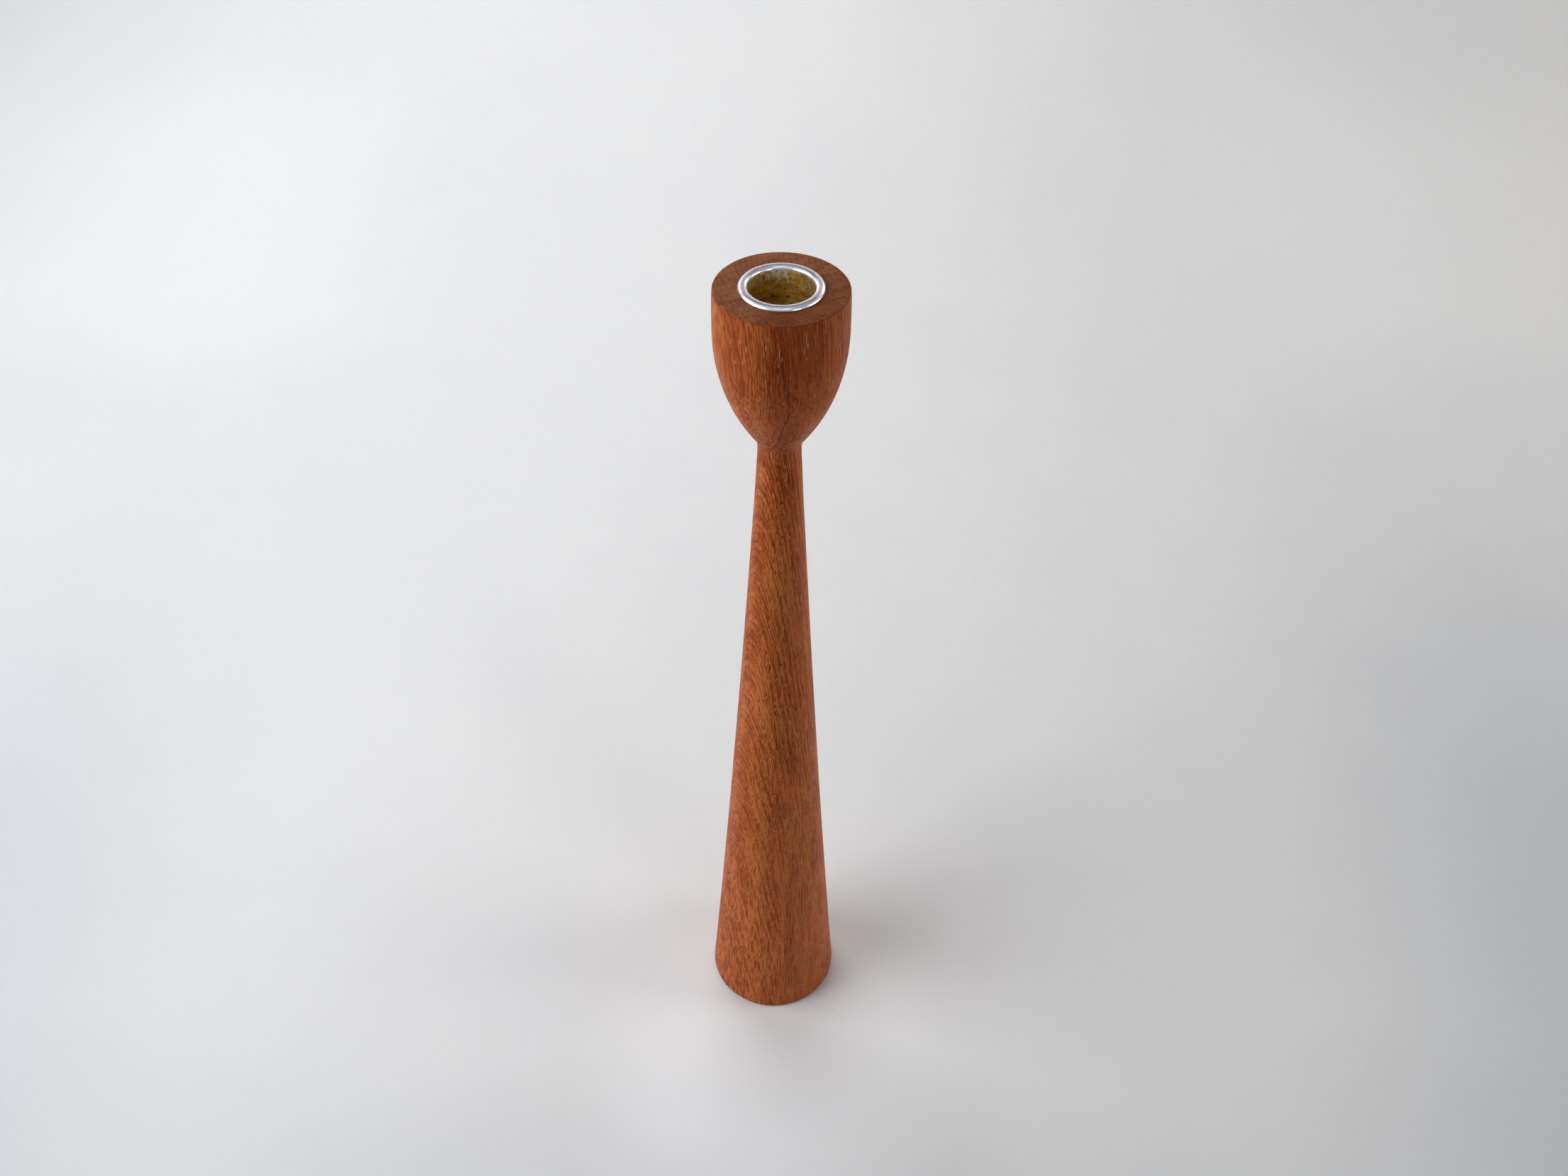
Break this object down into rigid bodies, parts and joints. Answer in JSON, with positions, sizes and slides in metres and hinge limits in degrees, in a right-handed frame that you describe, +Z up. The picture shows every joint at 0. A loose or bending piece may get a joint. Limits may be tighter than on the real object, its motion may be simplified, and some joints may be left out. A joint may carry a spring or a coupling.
{
  "type": "candlestick",
  "caption": "Tall turned wooden candlestick: tapered stem, egg-cup head and a pressed metal candle cup with a rolled rim that lifts out.",
  "frame": {"origin": "centre of the felt pad's lower face, which the candlestick stands on", "axes": "+Z up along the turned axis, out of the candle cup's mouth"},
  "size_m": [0.062, 0.062, 0.4084],
  "materials": {
    "wood": "oiled reddish-brown hardwood, satin, with straight dark grain",
    "cup_metal": "polished rim with fine scratches; a dull wax film inside",
    "felt": "pressed wool felt, matt"
  },
  "bodies": {
    "candlestick": {"turned_body": "wood", "felt_pad": "felt"},
    "cup": {"candle_cup": "cup_metal"}
  },
  "joints": [
    {"name": "cup_lift", "type": "slide", "parent": "candlestick", "child": "cup", "axis": [0, 0, 1], "range_m": [0, 0.015]}
  ]
}
